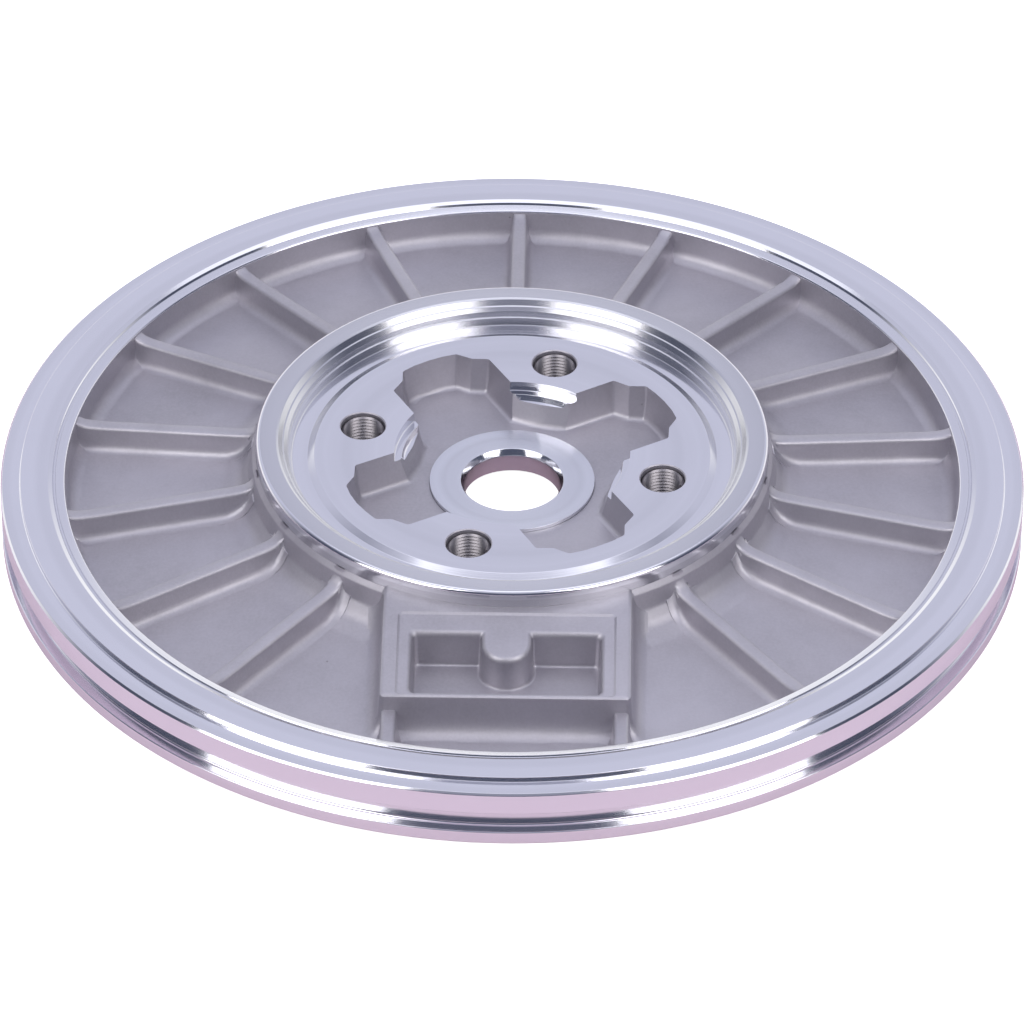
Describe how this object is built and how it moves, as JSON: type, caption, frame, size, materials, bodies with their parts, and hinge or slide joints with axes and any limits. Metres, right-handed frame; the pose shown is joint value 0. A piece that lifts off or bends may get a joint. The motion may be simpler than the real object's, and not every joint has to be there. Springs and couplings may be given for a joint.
{
  "type": "turbocharger back plate",
  "caption": "Round ribbed aluminium back plate for a turbocharger compressor, with an O-ring groove in its rim, a machined hub seat, an oil pocket and a seal insert round the shaft bore.",
  "frame": {"origin": "centre of the plate on the plane of the rim's foot, on the shaft axis", "axes": "+Z along the shaft axis towards the bearing housing; -Y towards the drain pad; +X to its right as seen from the front with the bearing-housing side up"},
  "size_m": [0.2004, 0.2004, 0.0206],
  "materials": {
    "cast_aluminium": "satin as-cast skin with bright turned faces",
    "seal_steel": "fine turned",
    "thread_steel": "plain threaded steel"
  },
  "bodies": {
    "root": {"back_plate": "cast_aluminium", "seal_insert": "seal_steel", "thread_insert_1": "thread_steel", "thread_insert_2": "thread_steel", "thread_insert_3": "thread_steel", "thread_insert_4": "thread_steel"}
  },
  "joints": []
}
